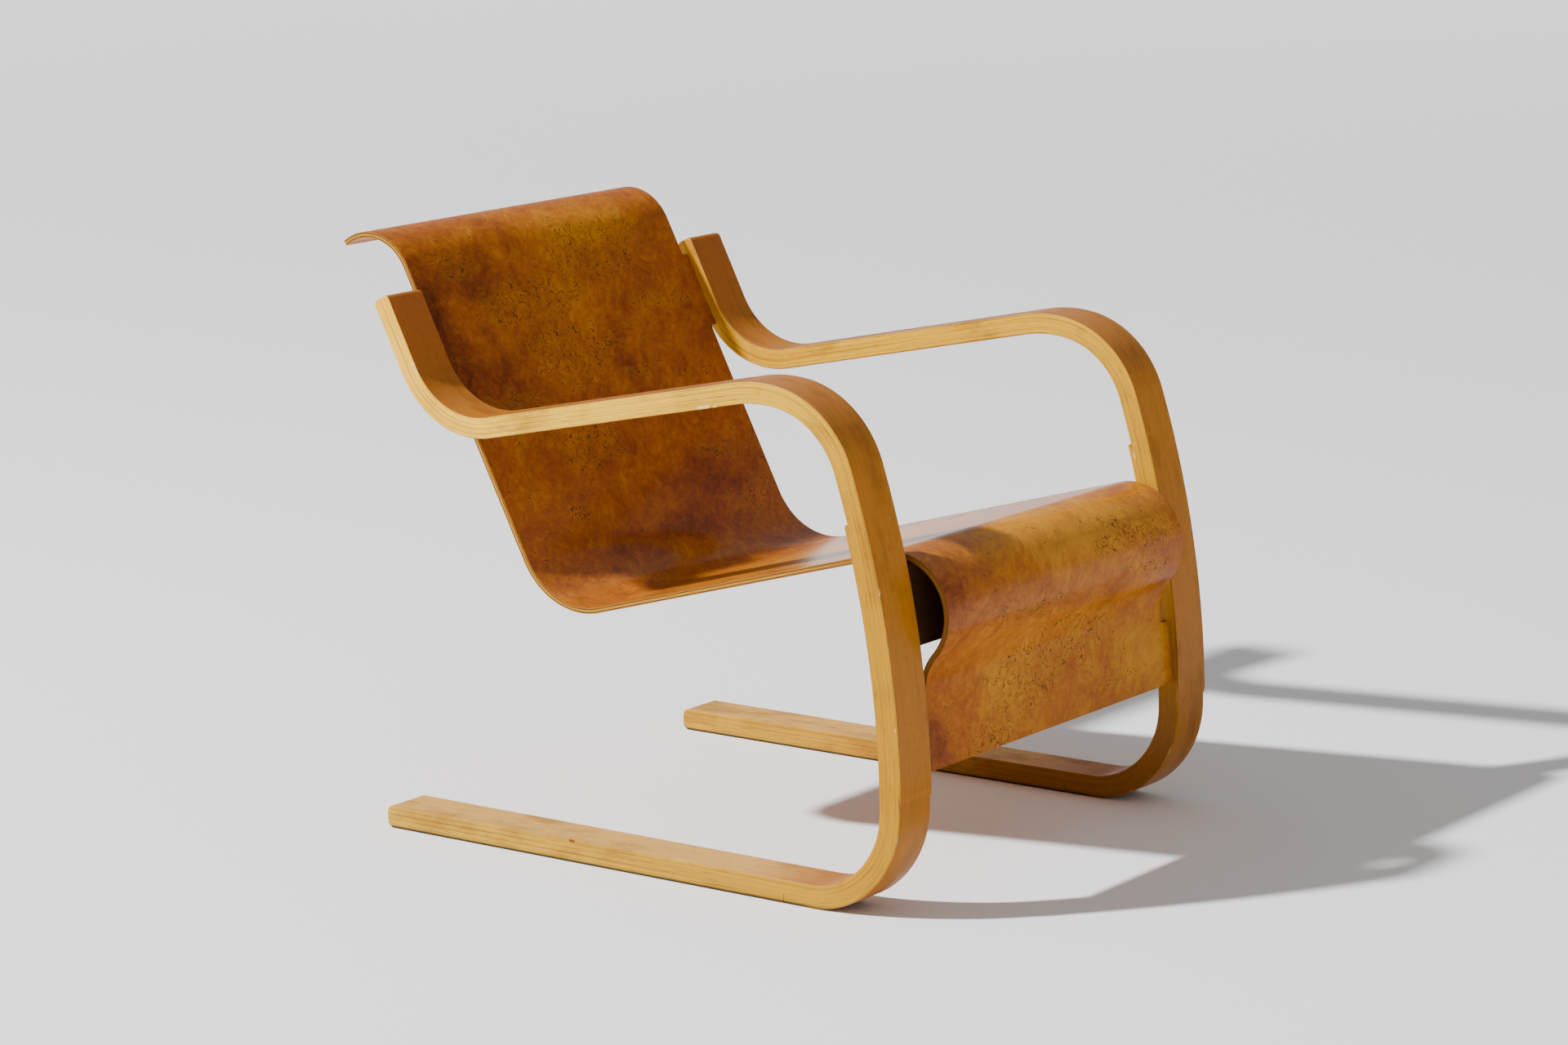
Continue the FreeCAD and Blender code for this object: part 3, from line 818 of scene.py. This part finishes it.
def finishPly(name, light, dark):
    finish = Finish(name)
    place = finish.place()
    grain = finish.streaks(place, *plyEdge["grain"])
    colour = finish.paint(finish.ease(grain, *plyEdge["grainShows"]), light, dark)
    # painted shade: the ply edges darken towards the front, where the sheet's edge lies in shade
    frontShade = finish.ease(finish.split(place)[1], *plyEdge["frontShadeEnds"], plyEdge["frontShadeStrength"], 0.0)
    colour = finish.paint(frontShade, colour, plyEdge["frontShade"])
    finish.set(Base_Color=colour, Specular_IOR_Level=plyEdge["specular"], Roughness=plyEdge["roughness"])
    return finish


veneerFinish = finishVeneer()
crossFinish = finishPly("plyEdgeDark", plyEdge["dark"], plyEdge["brown"])
coreFinish = finishPly("plyEdgeLight", plyEdge["light"], plyEdge["shade"])
for name, piece in shellPieces.items():
    chosen = veneerFinish if "veneer" in name else coreFinish if "core" in name else crossFinish
    chosen.on(piece)


rail = {
    "colour": (0.034, 0.014, 0.005), "light": (0.046, 0.018, 0.006), "dowel": (0.48, 0.26, 0.08),
    "grain": ((6.0, 300.0, 300.0), 4.0, 0.6), "grainShows": (0.3, 0.7), "bump": (0.0002, 0.3),
    "roughness": 0.45, "dowelRoughness": 0.6, "specular": 0.12,
}


def finishRail(name, dark, light, roughness):
    finish = Finish(name)
    grain = finish.streaks(finish.node("ShaderNodeTexCoord", output=3), *rail["grain"])
    colour = finish.paint(finish.ease(grain, *rail["grainShows"]), dark, light)
    finish.set(Base_Color=colour, Roughness=roughness, Specular_IOR_Level=rail["specular"],
               Normal=finish.bump(grain, *rail["bump"]))
    return finish


railFinish = finishRail("stainedRail", rail["colour"], rail["light"], rail["roughness"])
dowelFinish = finishRail("bareDowel", rail["dowel"], birch["worn"], rail["dowelRoughness"])
railFinish.on(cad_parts["front_rail"])
dowelFinish.on(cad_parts["front_rail_dowels"])
print("finishes applied")


studio = {
    "floorSize": 80.0, "floorColour": (0.90, 0.90, 0.90), "floorRoughness": 0.9, "floorSpecular": 0.1,
    "overhead": (0.42, 0.42, 0.42), "horizon": (0.70, 0.70, 0.70),   # soft walls, darker ceiling
    "horizonHeight": 0.16, "horizonLow": 0.064,
    "lampPlace": (-3.05, 2.18, 3.48), "lampPower": 0.9, "lampRadius": 0.12,
    "glow": (0.62, 0.62, 0.62), "glowStart": 1.5, "glowEnd": 14.0,   # the far floor rises into a lit wall
}
view = {
    "place": (-3.9139, -2.9755, 1.3214),
    "azimuth": 53.0, "downward": 11.345, "roll": 1.03,
    "lens": 101.73, "sensor": 36.0, "farthest": 200.0,
}

bpy.ops.mesh.primitive_plane_add(size=studio["floorSize"])
floor = bpy.context.object
floor.name = "studioFloor"
floorFinish = Finish("paleFloor")
fromMiddle = floorFinish.node("ShaderNodeTexCoord", output=3)
distance = floorFinish.vector("LENGTH", fromMiddle, output=1)
glow = floorFinish.ease(distance, studio["glowStart"], studio["glowEnd"])
floorFinish.set(Base_Color=(*studio["floorColour"], 1.0),
                Roughness=studio["floorRoughness"], Specular_IOR_Level=studio["floorSpecular"],
                Emission_Color=floorFinish.paint(glow, (0.0, 0.0, 0.0), studio["glow"]),
                Emission_Strength=1.0)
floorFinish.on(floor)

room = Finish("studioRoom", bpy.data.worlds, "Background")
upward = room.split(room.node("ShaderNodeTexCoord", output=0))[2]
roomStops = [(0.0, studio["horizon"]), (studio["horizonLow"], studio["horizon"]),
             (studio["horizonHeight"], studio["overhead"])]
room.set(Color=room.ramp(upward, roomStops), Strength=1.0)
bpy.context.scene.world = room.block

bpy.ops.object.light_add(type="POINT", location=studio["lampPlace"])
lamp = bpy.context.object
lamp.name = "keyLight"
lamp.data.energy = studio["lampPower"]
lamp.data.shadow_soft_size = studio["lampRadius"]
lamp.data.use_nodes = True
lampTree = lamp.data.node_tree
falloff = lampTree.nodes.new("ShaderNodeLightFalloff")   # an even key light, as from a large head far away
lampTree.links.new(falloff.outputs["Constant"], lampTree.nodes["Emission"].inputs["Strength"])

bpy.ops.object.camera_add()
camera = bpy.context.object
turn = Matrix.Rotation(math.radians(-view["azimuth"]), 4, "Z")
tilt = Matrix.Rotation(math.radians(90 - view["downward"]), 4, "X")
lean = Matrix.Rotation(math.radians(-view["roll"]), 4, "Z")
camera.matrix_world = Matrix.Translation(view["place"]) @ turn @ tilt @ lean
camera.data.lens = view["lens"]
camera.data.sensor_width = view["sensor"]
camera.data.clip_end = view["farthest"]
bpy.context.scene.camera = camera
print("studio set up")
